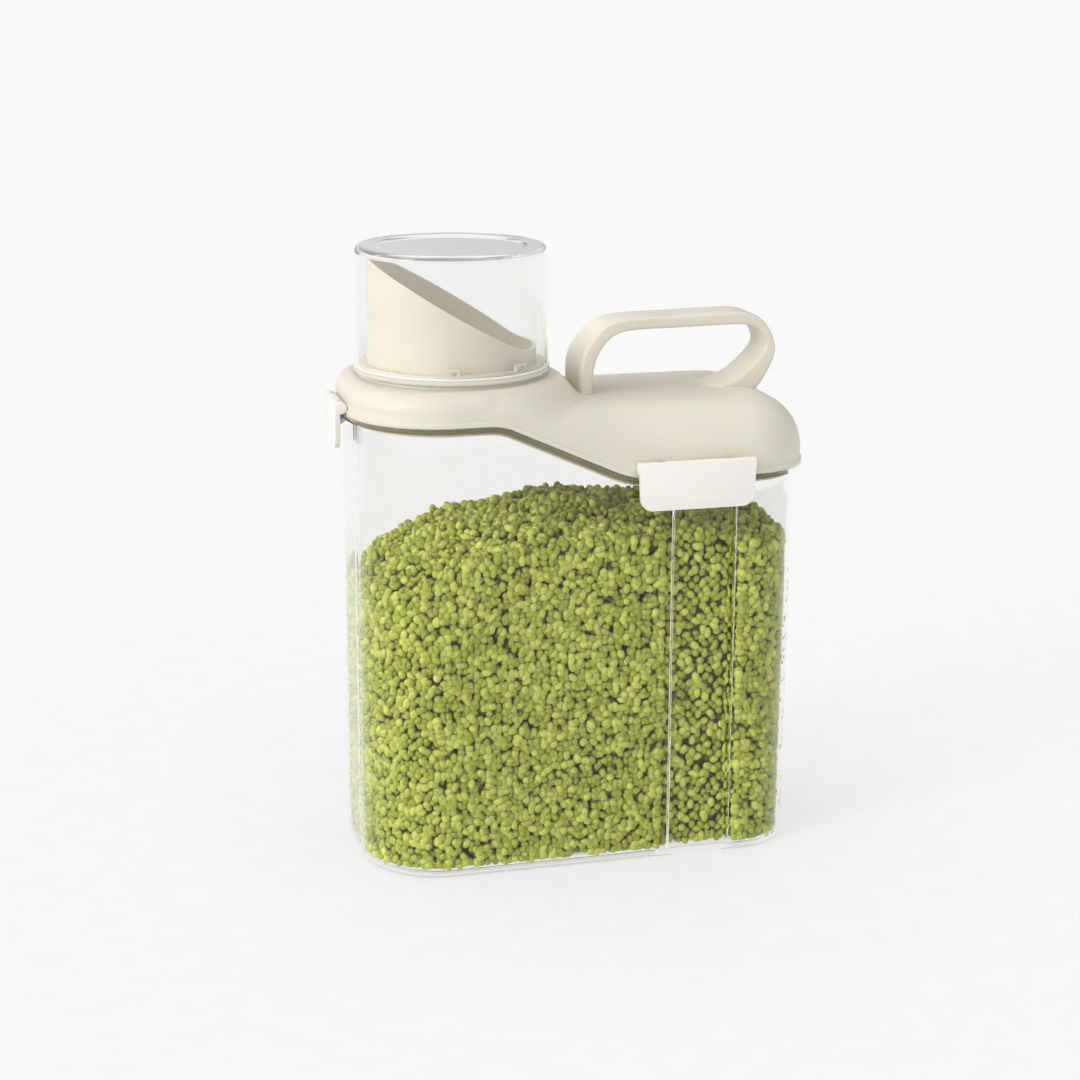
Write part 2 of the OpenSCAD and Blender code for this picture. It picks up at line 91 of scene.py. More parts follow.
# ------------------------------------------------------------------ helpers

def linear(code):
    """An sRGB hex colour as linear red, green and blue."""
    parts = [int(code[i:i + 2], 16) / 255 for i in (1, 3, 5)]
    return [c / 12.92 if c <= 0.04045 else ((c + 0.055) / 1.055) ** 2.4 for c in parts]


def shade(code, k):
    """A linear colour made darker or lighter by k, with alpha."""
    return [*(min(1.0, c * k) for c in code[:3]), 1.0]


def add(tree, kind, links=None, **settings):
    """Adds a node; a value in links that is a socket is joined, any other is set."""
    n = tree.nodes.new(kind)
    for key, value in settings.items():
        setattr(n, key, value)
    for key, value in (links or {}).items():
        if isinstance(value, bpy.types.NodeSocket):
            tree.links.new(value, n.inputs[key])
        else:
            n.inputs[key].default_value = value
    return n


def surface(name):
    """A new material with its shader, and object coordinates in metres."""
    mat = bpy.data.materials.new(name)
    mat.use_nodes = True
    tree = mat.node_tree
    tree.nodes.clear()
    shader = add(tree, "ShaderNodeBsdfPrincipled")
    out = add(tree, "ShaderNodeOutputMaterial", {"Surface": shader.outputs["BSDF"]})
    out.is_active_output = True
    where = add(tree, "ShaderNodeTexCoord")
    return mat, tree, shader, where.outputs["Object"]


def ramp(tree, fac, stops):
    """A colour ramp through (position, colour) stops."""
    n = add(tree, "ShaderNodeValToRGB", {"Fac": fac})
    els = n.color_ramp.elements
    while len(els) < len(stops):
        els.new(0.5)
    for e, (pos, col) in zip(els, stops):
        e.position, e.color = pos, col
    return n.outputs["Color"]


def multiplied(tree, a, b):
    """The product of two colours."""
    n = add(tree, "ShaderNodeMix", {6: a, 7: b}, data_type="RGBA", blend_type="MULTIPLY")
    n.inputs["Factor"].default_value = 1.0
    return n.outputs[2]


def finish_node(name, mat):
    """Gives a CAD node its material, on the object's own slots."""
    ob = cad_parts[name]
    if not ob.material_slots:
        ob.data.materials.append(mat)
    for s in ob.material_slots:
        s.link = "OBJECT"
        s.material = mat


def mesh_object(name, verts, faces, mat=None):
    """A smooth-shaded object of its own from points and faces."""
    me = bpy.data.meshes.new(name)
    me.from_pydata(verts, [], faces)
    me.validate()
    me.polygons.foreach_set("use_smooth", [True] * len(me.polygons))
    if mat:
        me.materials.append(mat)
    ob = bpy.data.objects.new(name, me)
    bpy.context.scene.collection.objects.link(ob)
    return ob


# ---------------------------------------------------------------- materials

def clear_styrene(p):
    """Clear SAN, injection moulded: glassy, with slow ripples from the mould and pale, thin edges."""
    mat, t, s, pos = surface("clear_SAN_moulded")
    s.inputs["Base Color"].default_value = (*p.clear_colour, 1)
    s.inputs["Transmission Weight"].default_value = 1.0
    # below the plastic's own 1.57, which would make the edges of so thin a wall heavy
    s.inputs["IOR"].default_value = 1.3
    # handling leaves patches about 30 mm across that are a little less glossy
    haze = add(t, "ShaderNodeTexNoise", {"Vector": pos, "Scale": 32.0, "Detail": 3.0})
    rough = add(t, "ShaderNodeMapRange", {"Value": haze.outputs["Fac"], "From Min": 0.35, "From Max": 0.75,
                                          "To Min": 0.0, "To Max": 0.035})
    t.links.new(rough.outputs["Result"], s.inputs["Roughness"])
    # ripples 12 mm apart, from the melt's flow
    wave = add(t, "ShaderNodeTexNoise", {"Vector": pos, "Scale": 80.0, "Detail": 1.0})
    bump = add(t, "ShaderNodeBump", {"Height": wave.outputs["Fac"], "Strength": 0.04, "Distance": 0.0004})
    t.links.new(bump.outputs["Normal"], s.inputs["Normal"])
    # lamps shine through the wall onto what is inside, and light that has been mirrored three times in a
    # rounded edge gets out again
    ray = add(t, "ShaderNodeLightPath")
    caught = add(t, "ShaderNodeMath", {0: ray.outputs["Glossy Depth"], 1: 2.5}, operation="GREATER_THAN")
    free = add(t, "ShaderNodeMath", {0: ray.outputs["Is Shadow Ray"], 1: caught.outputs[0]},
               operation="MAXIMUM")
    bare = add(t, "ShaderNodeBsdfTransparent", {"Color": (0.97, 0.972, 0.967, 1)})
    both = add(t, "ShaderNodeMixShader",
               {0: free.outputs[0], 1: s.outputs["BSDF"], 2: bare.outputs["BSDF"]})
    t.links.new(both.outputs["Shader"], t.nodes["Material Output"].inputs["Surface"])
    return mat


def satin_plastic(name, colour, grain=1100.0, rough=0.4):
    """Plastic, injection moulded in a fine spark-eroded tool: a soft satin with an even, fine grain."""
    mat, t, s, pos = surface(name)
    # the pigment drifts slowly across the part, over about 60 mm
    drift = add(t, "ShaderNodeTexNoise", {"Vector": pos, "Scale": 17.0, "Detail": 2.0})
    tint = ramp(t, drift.outputs["Fac"], [(0.3, shade(colour, 0.965)), (0.7, shade(colour, 1.02))])
    # faint dust and rubbing, in specks of about 1.5 mm
    dust = add(t, "ShaderNodeTexNoise", {"Vector": pos, "Scale": 640.0, "Detail": 4.0, "Roughness": 0.7})
    speck = ramp(t, dust.outputs["Fac"], [(0.62, (1, 1, 1, 1)), (0.74, (0.955, 0.95, 0.935, 1))])
    t.links.new(multiplied(t, tint, speck), s.inputs["Base Color"])
    s.inputs["Subsurface Weight"].default_value = 0.12
    s.inputs["Subsurface Scale"].default_value = 0.003
    s.inputs["IOR"].default_value = 1.49
    gloss = add(t, "ShaderNodeMapRange", {"Value": dust.outputs["Fac"], "From Min": 0.3, "From Max": 0.7,
                                          "To Min": rough - 0.05, "To Max": rough + 0.07})
    t.links.new(gloss.outputs["Result"], s.inputs["Roughness"])
    # the tool's grain is 0.3 mm; it is drawn at 0.8 to 0.9 mm so that it shows
    fine = add(t, "ShaderNodeTexNoise", {"Vector": pos, "Scale": grain, "Detail": 2.0})
    bump = add(t, "ShaderNodeBump", {"Height": fine.outputs["Fac"], "Strength": 0.12, "Distance": 0.0002})
    t.links.new(bump.outputs["Normal"], s.inputs["Normal"])
    return mat


def silicone_rubber(name, colour):
    """Silicone, compression moulded: cloudy, soft and slightly translucent, in clouds of about 7 mm."""
    mat, t, s, pos = surface(name)
    cloud = add(t, "ShaderNodeTexNoise", {"Vector": pos, "Scale": 150.0, "Detail": 3.0})
    tint = ramp(t, cloud.outputs["Fac"], [(0.3, shade(colour, 0.94)), (0.7, shade(colour, 1.03))])
    t.links.new(tint, s.inputs["Base Color"])
    s.inputs["Subsurface Weight"].default_value = 0.4
    s.inputs["Subsurface Scale"].default_value = 0.002
    s.inputs["IOR"].default_value = 1.41
    s.inputs["Roughness"].default_value = 0.5
    bump = add(t, "ShaderNodeBump", {"Height": cloud.outputs["Fac"], "Strength": 0.1, "Distance": 0.0002})
    t.links.new(bump.outputs["Normal"], s.inputs["Normal"])
    return mat


def drawn_steel(p):
    """Stainless spring wire, drawn: bright, a little duller in specks of about 1 mm where it has rubbed."""
    mat, t, s, pos = surface("stainless_wire_drawn")
    s.inputs["Metallic"].default_value = 1.0
    wear = add(t, "ShaderNodeTexNoise", {"Vector": pos, "Scale": 900.0, "Detail": 4.0})
    tint = ramp(t, wear.outputs["Fac"], [(0.3, shade(p.steel_colour, 0.85)),
                                         (0.7, shade(p.steel_colour, 1.05))])
    t.links.new(tint, s.inputs["Base Color"])
    gloss = add(t, "ShaderNodeMapRange", {"Value": wear.outputs["Fac"], "To Min": 0.18, "To Max": 0.4})
    t.links.new(gloss.outputs["Result"], s.inputs["Roughness"])
    return mat


def bean_skin(p):
    """Dried green beans: a thin waxy skin with mottling of about 1 mm, each bean its own yellow green, and
    painted shade down in the gaps.
    """
    mat, t, s, pos = surface("dried_bean_skin")
    own = add(t, "ShaderNodeAttribute", attribute_name="tint")
    base = ramp(t, own.outputs["Fac"], [
        (0.0, shade(p.bean_dark, 0.92)), (0.5, shade(p.bean_dark, 1.15)),
        (0.85, shade(p.bean_light, 0.95)), (1.0, shade(p.bean_light, 1.08))])
    mottle = add(t, "ShaderNodeTexNoise", {"Vector": pos, "Scale": 900.0, "Detail": 2.0})
    soft = ramp(t, mottle.outputs["Fac"], [(0.3, (0.86, 0.88, 0.8, 1)), (0.65, (1.05, 1.04, 1.0, 1))])
    # painted shade: darker down in the gaps, from 1 mm behind the wall or under the top of the heap
    sunk = add(t, "ShaderNodeAttribute", attribute_name="depth_mm")
    far = add(t, "ShaderNodeMapRange", {"Value": sunk.outputs["Fac"], "From Min": 1.1, "From Max": 2.6})
    painted_gap_shade = ramp(t, far.outputs["Result"], [(0.0, (1, 1, 1, 1)), (1.0, (0.3, 0.3, 0.15, 1))])
    t.links.new(multiplied(t, multiplied(t, base, soft), painted_gap_shade), s.inputs["Base Color"])
    s.inputs["Roughness"].default_value = 0.42
    s.inputs["IOR"].default_value = 1.45
    s.inputs["Subsurface Weight"].default_value = 0.15
    s.inputs["Subsurface Scale"].default_value = 0.0012
    return mat


def beans_in_the_shade(p):
    """Beans deep in the heap, which no light reaches: dark lumps 4 mm apart."""
    mat, t, s, pos = surface("beans_in_the_shade")
    lumps = add(t, "ShaderNodeTexVoronoi", {"Vector": pos, "Scale": 260.0})
    tone = ramp(t, lumps.outputs["Distance"], [(0.0, shade(p.bean_dark, 0.3)),
                                               (0.6, shade(p.bean_dark, 0.12))])
    t.links.new(tone, s.inputs["Base Color"])
    return mat


# ---------------------------------------------------------------- lid form

def ease(a, b, x):
    """0 below a, 1 above b, and a smooth rise between them."""
    k = np.clip((x - a) / (b - a), 0, 1)
    return k * k * (3 - 2 * k)


def rim_height(x):
    """Height of the container's rim, with round bends where it falls."""
    x = np.asarray(x, float)
    k = (RIM_HIGH - RIM_LOW) / (FALL_TO - FALL_FROM)
    z = np.clip(RIM_HIGH - k * (x - FALL_FROM), RIM_LOW, RIM_HIGH)
    turn = math.atan(k)
    for at, level, radius, side in ((FALL_FROM, RIM_HIGH, BEND_HIGH, -1), (FALL_TO, RIM_LOW, BEND_LOW, 1)):
        reach = radius * math.tan(turn / 2)
        flat_end = at + side * reach
        near = (side * (x - flat_end) < 0) & (side * (x - (at - side * reach * math.cos(turn))) > 0)
        sag = radius - np.sqrt(np.maximum(radius ** 2 - (x - flat_end) ** 2, 0))
        z = np.where(near, level + side * sag, z)
    return z


def outline(count, grow):
    """Points round the plan at even spacing, grown by grow, with their outward normals."""
    arcs = ((HANDLE_CORNER, 1, -1, -90), (HANDLE_CORNER, 1, 1, 0),
            (SPOUT_CORNER, -1, 1, 90), (SPOUT_CORNER, -1, -1, 180))
    centres, angles, radii = [], [], []
    for r, sx, sy, start in arcs:
        for a in np.linspace(start, start + 90, 91):  # a point at every degree
            centres.append((sx * (BIN_LENGTH / 2 - r), sy * (BIN_WIDTH / 2 - r)))
            angles.append(math.radians(a))
            radii.append(r)
    centres, angles, radii = np.array(centres), np.array(angles), np.array(radii)
    normal = np.stack([np.cos(angles), np.sin(angles)], 1)
    at = centres + normal * (radii[:, None] + LID_OUT)
    run = np.concatenate([[0], np.cumsum(np.hypot(*np.diff(np.vstack([at, at[:1]]), axis=0).T))])
    want = np.arange(count) / count * run[-1]

    def spaced(q):
        return np.stack([np.interp(want, run, np.append(q[:, k], q[0, k])) for k in (0, 1)], 1)

    p, n = spaced(at), spaced(normal)
    n /= np.hypot(*n.T)[:, None]
    return p + n * (grow - LID_OUT), n


def edge_room(x, y):
    """Distance in mm from a point to the lid's outline, positive inside."""
    r = np.where(x < 0, SPOUT_CORNER, HANDLE_CORNER) + LID_OUT
    qx = np.abs(x) - (BIN_LENGTH / 2 + LID_OUT - r)
    qy = np.abs(y) - (LID_HALF - r)
    return r - np.hypot(np.maximum(qx, 0), np.maximum(qy, 0)) - np.minimum(np.maximum(qx, qy), 0)


def skirt_top(x):
    """Height where the lid's side starts to roll in."""
    return rim_height(x) + SKIRT + SKIRT_MORE * ease(FALL_FROM, 30, x)


def roll_width(x):
    """Width in mm of the lid's edge roll, from the shoulder's to the deck's."""
    return TOWER_ROLL + (DECK_ROLL - TOWER_ROLL) * ease(*ROLL_WIDENS, x)


def quarter(k):
    """Height of a quarter circle, 0 to 1, at k along its foot."""
    return np.sqrt(1 - (1 - k) ** 2)


def lid_top(x, y):
    """Height of the lid's top: the round shoulder under the spout, running softly down into the deck."""
    room = edge_room(x, y)
    low = skirt_top(x)
    deck = low + np.maximum(DECK_TOP - low, 0) * quarter(np.clip(room / roll_width(x), 0, 1))
    inside = np.where(x < SPOUT_X, room, LID_HALF - np.hypot(x - SPOUT_X, y))
    # towards the deck the shoulder's foot is drawn slack, so that it has no upright wall
    slack = FOOT_SLACK * ease(*FOOT_SLACKENS, x)
    k = np.clip((inside + slack) / (TOWER_ROLL + slack), 0, 1)
    loose = ease(*FOOT_ROUNDS_OFF, x)
    roll = (1 - loose) * quarter(k) + loose * (1 - (1 - k) ** 2)
    tower = TOWER_TOP - TOWER_ROLL + TOWER_ROLL * roll + FOOT_SLOPE * np.minimum(inside + slack, 0)
    # the higher of the two, with their crossing filled softly
    soft = JOIN_TIGHT + JOIN_SOFT * ease(*JOIN_SOFTENS, x)
    gap = np.maximum(soft - np.abs(tower - deck), 0) / soft
    return np.maximum(tower, deck) + gap * gap * soft / 4 * ease(*JOIN_STARTS, x)


def closed_sheet(rings):
    """Faces between closed rings, given as (count, 3) arrays, and from the last to the first."""
    n = len(rings[0])
    verts = np.concatenate(rings)
    faces = []
    for j in range(len(rings)):
        a, b = j * n, (j + 1) % len(rings) * n
        for k in range(n):
            m = (k + 1) % n
            faces.append((a + k, a + m, b + m, b + k))
    return verts, faces


# The bead along the lid's lower edge: how far out of the lid's side and how high over the rim, in mm.
BEAD = ((0.35, 0), (0.6, 0.1), (0.7, 0.35), (0.7, 1.95), (0.62, 2.2), (0.4, 2.36), (0.1, 2.42))
BEAD_END = 2.75

# The neck from its foot over its edge and down its bore: radius and height, in mm.
NECK_PROFILE = (
    (NECK + 0.25, TOWER_TOP + 0.12), (NECK, TOWER_TOP + 0.4), (NECK, NECK_TOP - 0.4),
    (NECK - 0.15, NECK_TOP - 0.12), (NECK - 0.5, NECK_TOP), (NECK_BORE + 0.5, NECK_TOP),
    (NECK_BORE + 0.15, NECK_TOP - 0.15), (NECK_BORE, NECK_TOP - 0.5), (NECK_BORE, TOWER_TOP - LID_WALL))


def lid_rings(count=480):
    """Closed rings of the lid's shell, from its lower edge over the top to the neck and back inside."""
    rings = []

    def side(grow, lift):
        p, _ = outline(count, grow)
        z = rim_height(p[:, 0]) + lift
        rings.append(np.column_stack([p, z]))

    for grow, lift in BEAD:
        side(LID_OUT + grow, lift + SEAT_GAP)
    side(LID_OUT, BEAD_END)
    # the top: rings that shrink from the outline to the neck, close together in the roll and at the foot
    p, n = outline(count, LID_OUT)
    centre = np.array([SPOUT_X, 0.0])
    ray = p - centre
    reach = np.hypot(*ray.T)
    ray /= reach[:, None]
    lean = np.clip((ray * n).sum(1), 0.3, 1)
    inner = reach - NECK - NECK_FILLET
    first = np.minimum(roll_width(p[:, 0]) / lean, 0.85 * inner)
    foot_from_spout, roll_steps, deck_steps, foot_steps = 68.0, 26, 14, 36
    bend = np.maximum(np.minimum(inner - 1, reach - foot_from_spout), first + 0.3 * (inner - first))
    marks = [first * (1 - math.cos(a)) for a in np.linspace(0, math.pi / 2, roll_steps)]
    marks += [first + (bend - first) * k / deck_steps for k in range(1, deck_steps + 1)]
    marks += [bend + (inner - bend) * k / foot_steps for k in range(1, foot_steps + 1)]
    top = []
    for q in marks:
        at = centre + ray * (reach - q)[:, None]
        top.append(np.column_stack([at, lid_top(*at.T)]))
    rings += top
    turn = np.column_stack([ray, np.zeros(count)])
    high = np.array([0, 0, 1.0])
    spot = np.array([SPOUT_X, 0, 0])
    for r, z in NECK_PROFILE:
        rings.append(spot + turn * r + high * z)
    # the inside of the wall, square under the top, with every other ring
    for j in range(len(top) - 1, 0, -2):
        a = top[j]
        along = np.roll(a, -1, 0) - np.roll(a, 1, 0)
        across = (top[j + 1] if j + 1 < len(top) else a) - top[j - 1]
        up = np.cross(along, across)
        up /= np.linalg.norm(up, axis=1)[:, None]
        rings.append(a - up * LID_WALL)
    p, _ = outline(count, LID_OUT - LID_WALL)
    rings.append(np.column_stack([p, skirt_top(p[:, 0])]))
    side(LID_OUT - LID_WALL, SEAT_GAP)
    return rings


def rib_rings(count=360):
    """Closed rings of the rib under the lid, with the groove that holds the gasket."""
    rings = []
    outer, root, inner = -2.2, -2.9, -4.0
    groove_top, groove_low, foot = -0.4, -4.1, -5.0
    # the rib runs up into the lid's wall
    p, _ = outline(count, outer)
    crown = lid_top(*p.T) - 1.2
    for grow, lift in ((outer, None), (outer, groove_top), (root, groove_top), (root, groove_low),
                       (outer, groove_low), (outer, foot), (inner, foot), (inner, None)):
        p, _ = outline(count, grow)
        rings.append(np.column_stack([p, crown if lift is None else rim_height(p[:, 0]) + lift]))
    return rings


# Stations of the handle strap: outer x, outer z, inner x, inner z, width, in mm. The first and the last
# only steer the ends.
STRAP = np.array([
    (3.6, 206.5, 10.2, 206.5, 29), (3.4, 224.5, 10.2, 224.5, 29), (2.8, 235, 10.6, 235, 28.5),
    (3.4, 241.5, 11.6, 240.5, 28), (5.2, 247, 13.4, 245.2, 27), (9.2, 253, 17.4, 250.8, 25.5),
    (14.1, 258.2, 22, 254.2, 24), (20.5, 261.4, 27.5, 255.9, 23), (32, 262.9, 35, 256.5, 22.5),
    (52, 263.2, 52, 256.7, 22.5), (74, 263.7, 73, 257, 22.5), (87, 263.6, 86, 256.9, 22.5),
    (96, 261, 93, 256, 22.5), (101.8, 255, 97.2, 253, 22.5), (105, 247.5, 99.3, 247.5, 23),
    (104.9, 241, 97.8, 243.2, 23.5), (102, 233.9, 91.5, 236.6, 24), (97.5, 226.5, 83, 230.6, 24.5),
    (92, 221, 73, 227.4, 25), (86, 217, 64, 225.6, 25.5), (80, 214, 56, 224.5, 26),
])


def strap_mesh(per=10, around=72, edge=0.36):
    """The handle as one flat band with round edges, swept smoothly through its stations.

    per is the number of rings from one station to the next, around the points in a ring, and edge
    how square the band's section is: 1 gives an ellipse, 0 a rectangle."""
    verts, rings = [], 0
    for i in range(1, len(STRAP) - 2):
        a, b, c, d = STRAP[i - 1:i + 3]
        for j in range(per + (i == len(STRAP) - 3)):
            t = j / per
            s = 0.5 * (2 * b + (c - a) * t + (2 * a - 5 * b + 4 * c - d) * t * t
                       + (3 * b - a - 3 * c + d) * t ** 3)
            mid, half = (s[:2] + s[2:4]) / 2, (s[:2] - s[2:4]) / 2
            for k in range(around):
                u, v = math.cos(math.tau * k / around), math.sin(math.tau * k / around)
                u, v = math.copysign(abs(u) ** edge, u), math.copysign(abs(v) ** edge, v)
                verts.append((mid[0] + half[0] * u, v * s[4] / 2, mid[1] + half[1] * u))
            rings += 1
    verts = np.array(verts)
    # the feet end inside the lid's wall
    foot_depth = 1.3
    verts[:, 2] = np.maximum(verts[:, 2], lid_top(verts[:, 0], verts[:, 1]) - foot_depth)
    faces = [tuple(range(around))[::-1], tuple((rings - 1) * around + k for k in range(around))]
    for i in range(rings - 1):
        for k in range(around):
            m = (k + 1) % around
            faces.append((i * around + k, i * around + m, (i + 1) * around + m, (i + 1) * around + k))
    return verts, faces


def joined(parts):
    """Several (vertices, faces) as one."""
    verts, faces, base = [], [], 0
    for v, f in parts:
        verts += [tuple(c) for c in v]
        faces += [tuple(base + i for i in q) for q in f]
        base += len(v)
    return verts, faces


def hinge_eye(place, along, toward):
    """One eye with its arm into the lid: place is in mm, and the bore runs along."""
    n, half, outer, bore, chamfer = 28, 2.0, 1.8, 1.02, 0.2
    place, along, toward = (np.array(q, float) for q in (place, along, toward))
    up = np.array([0, 0, 1.0])

    def spot(s, y, z):
        return place + along * s + toward * y + up * z

    turns = [math.tau * k / n for k in range(n)]
    rings = []
    for r, s in ((outer - chamfer, -half), (outer, chamfer - half), (outer, half - chamfer),
                 (outer - chamfer, half), (bore, half), (bore, -half)):
        rings.append(np.array([spot(s, r * math.cos(a), r * math.sin(a)) for a in turns]))
    arm = [(1.25, -0.75), (4.4, -2.5), (4.4, -0.25), (1.35, -0.1)]
    block = np.array([spot(s, *q) for s in (-half, half) for q in arm])
    sides = [(0, 1, 2, 3), (7, 6, 5, 4), (0, 4, 5, 1), (1, 5, 6, 2), (2, 6, 7, 3), (3, 7, 4, 0)]
    return [closed_sheet(rings), (block, sides)]


def outward(ob):
    """Turns all faces of a closed mesh outwards."""
    bm = bmesh.new()
    bm.from_mesh(ob.data)
    bmesh.ops.remove_doubles(bm, verts=bm.verts, dist=1e-6)
    bmesh.ops.recalc_face_normals(bm, faces=bm.faces)
    bm.to_mesh(ob.data)
    bm.free()


def evaluated(ob):
    """A new mesh of an object with its modifiers applied."""
    graph = bpy.context.evaluated_depsgraph_get()
    graph.update()
    return bpy.data.meshes.new_from_object(ob.evaluated_get(graph), preserve_all_data_layers=True,
                                           depsgraph=graph)


def softened(node, width, mat):
    """A copy of a node's mesh with its sharp edges rounded, standing in for the node."""
    flat, sharp = math.radians(1.2), math.radians(35)
    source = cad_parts[node]
    bm = bmesh.new()
    bm.from_mesh(source.data)
    bm.transform(source.matrix_world)
    bmesh.ops.remove_doubles(bm, verts=bm.verts, dist=2e-6)
    bmesh.ops.dissolve_limit(bm, angle_limit=flat, verts=bm.verts, edges=bm.edges)
    me = bpy.data.meshes.new(node + "_soft")
    bm.to_mesh(me)
    bm.free()
    me.materials.clear()
    me.materials.append(mat)
    me.polygons.foreach_set("use_smooth", [True] * len(me.polygons))
    ob = bpy.data.objects.new(node + "_soft", me)
    bpy.context.scene.collection.objects.link(ob)
    bevel = ob.modifiers.new("round_edges", "BEVEL")
    bevel.width, bevel.segments = width, 3
    bevel.limit_method, bevel.angle_limit = "ANGLE", sharp
    bevel.harden_normals = True
    mesh = evaluated(ob)
    ob.modifiers.clear()
    ob.data = mesh
    return ob


# ------------------------------------------------------------------- beans

def wall_room(x, y, z):
    """Distance in mm from a point to the container's inner wall, positive inside."""
    grow = LEAN * z - WALL
    hl, hw = BIN_LENGTH / 2 + grow, BIN_WIDTH / 2 + grow
    r = np.where(x < 0, SPOUT_CORNER, HANDLE_CORNER) + grow
    qx, qy = np.abs(x) - (hl - r), np.abs(y) - (hw - r)
    d = r - np.hypot(np.maximum(qx, 0), np.maximum(qy, 0)) - np.minimum(np.maximum(qx, qy), 0)
    # the recess's walls, with 1 mm to spare
    dx = np.maximum(np.maximum(GRIP_FROM - WALL - 1 - x, x - GRIP_TO - WALL - 1), 0)
    dy = np.maximum(GRIP_FLOOR - np.abs(y), 0)
    return np.minimum(d, np.hypot(dx, dy))


def fill_height(x, y, p):
    """Height in mm of the beans' top at a place: a heap that slides down towards the spout end."""
    spout_end, crown, crown_end, handle_end = -107, 3, 10, 110
    s = np.clip((x - spout_end) / (crown - spout_end), 0, 1)
    left = p.fill_spout_end + (p.fill_crown - p.fill_spout_end) * (1 - (1 - s) ** 2.0)
    t = np.clip((x - crown_end) / (handle_end - crown_end), 0, 1)
    right = p.fill_crown - (p.fill_crown - p.fill_handle_end) * t ** 1.6
    # 5 mm lower at the front and back walls
    z = np.minimum(left, right) - 5.0 * (y / 50) ** 2
    # small hollows and humps, about 50 and 16 mm from one to the next
    return z + 1.6 * np.sin(x * 0.11 + 1.3) * np.cos(y * 0.13) + 0.9 * np.sin(x * 0.31 + y * 0.23)


def bean_places(p):
    """Centres of the beans that can be seen: those at the walls, on top and at the bottom."""
    rng = np.random.default_rng(p.seed)
    # close packing in a block a little larger than the container's inside, then shaken
    low_corner, block, shake = np.array([-115.0, -60.0, 2.0]), (230, 120, 200), 0.16
    gap = p.bean_spacing
    step = gap * math.sqrt(2)
    base = np.array([(0, 0, 0), (.5, .5, 0), (.5, 0, .5), (0, .5, .5)]) * step
    counts = [np.arange(int(size / step) + 1) for size in block]
    cell = np.stack(np.meshgrid(*counts, indexing="ij"), -1).reshape(-1, 3) * step
    pts = (cell[:, None, :] + base[None, :, :]).reshape(-1, 3) + low_corner
    pts += rng.normal(0, gap * shake, pts.shape)
    thick = p.bean_length / MM * 0.43
    # beans pressed outwards by the ones behind lie against the wall
    for _ in range(3):
        x, y, z = pts.T
        room = wall_room(x, y, z)
        e = 0.2
        gx = (wall_room(x + e, y, z) - room) / e
        gy = (wall_room(x, y + e, z) - room) / e
        push = np.where((room < thick) & (room > -1.2), thick - room, 0)
        pts[:, 0] += gx * push
        pts[:, 1] += gy * push
    low = FLOOR + thick
    pts[:, 2] = np.where((pts[:, 2] < low) & (pts[:, 2] > low - 1.5), low, pts[:, 2])
    x, y, z = pts.T
    room, top = wall_room(x, y, z), fill_height(x, y, p)
    keep = (room > thick - 0.15) & (z >= low - 0.05) & (z < top)
    # only the outermost layers at the wall, on top and at the bottom
    keep &= (room < thick + 4.6) | (z > top - 7.5) | (z < low + 4.0)
    return pts[keep] * MM


def bean_mesh():
    """One bean, about one unit long: a plump oval, a little hollow on the side where it grew on the pod."""
    length, width, height = 1.08, 0.78, 0.74
    bm = bmesh.new()
    bmesh.ops.create_icosphere(bm, subdivisions=2, radius=0.5)
    for v in bm.verts:
        x, y, z = v.co
        hollow = 0.1 * math.exp(-(x * x) / 0.03) * max(0.0, z) * 0.9
        v.co = Vector((x * length, y * width, z * height - hollow + 0.05 * x * x))
    bmesh.ops.recalc_face_normals(bm, faces=bm.faces)
    me = bpy.data.meshes.new("one_bean")
    bm.to_mesh(me)
    bm.free()
    me.polygons.foreach_set("use_smooth", [True] * len(me.polygons))
    return me


def scatter_tree(bean, mat):
    """Geometry nodes: a bean on every point, each turned, sized and tinted its own way."""
    t = bpy.data.node_groups.new("bean_scatter", "GeometryNodeTree")
    face = t.interface
    face.new_socket("Geometry", in_out="INPUT", socket_type="NodeSocketGeometry")
    face.new_socket("Bean length", in_out="INPUT", socket_type="NodeSocketFloat")
    face.new_socket("Size spread", in_out="INPUT", socket_type="NodeSocketFloat")
    face.new_socket("Seed", in_out="INPUT", socket_type="NodeSocketInt")
    face.new_socket("Geometry", in_out="OUTPUT", socket_type="NodeSocketGeometry")
    given = add(t, "NodeGroupInput")
    seed = given.outputs["Seed"]
    one = add(t, "GeometryNodeObjectInfo", {"Object": bean})
    turn = add(t, "FunctionNodeRandomValue", {"Seed": seed}, data_type="FLOAT_VECTOR")
    turn.inputs[1].default_value = (math.tau, math.tau, math.tau)
    least = add(t, "ShaderNodeMath", {0: 1.0, 1: given.outputs["Size spread"]}, operation="SUBTRACT")
    most = add(t, "ShaderNodeMath", {0: 1.0, 1: given.outputs["Size spread"]}, operation="ADD")
    spread = add(t, "FunctionNodeRandomValue", {2: least.outputs[0], 3: most.outputs[0], "Seed": seed})
    size = add(t, "ShaderNodeMath", {0: spread.outputs[1], 1: given.outputs["Bean length"]},
               operation="MULTIPLY")
    place = add(t, "GeometryNodeInstanceOnPoints", {
        "Points": given.outputs["Geometry"], "Instance": one.outputs["Geometry"],
        "Rotation": turn.outputs[0], "Scale": size.outputs[0]})
    tint = add(t, "FunctionNodeRandomValue", {"Seed": seed})
    keep = add(t, "GeometryNodeStoreNamedAttribute", {
        "Geometry": place.outputs["Instances"], "Name": "tint", "Value": tint.outputs[1]},
        data_type="FLOAT", domain="INSTANCE")
    real = add(t, "GeometryNodeRealizeInstances", {"Geometry": keep.outputs["Geometry"]})
    skin = add(t, "GeometryNodeSetMaterial", {"Geometry": real.outputs["Geometry"], "Material": mat})
    add(t, "NodeGroupOutput", {"Geometry": skin.outputs["Geometry"]})
    return t


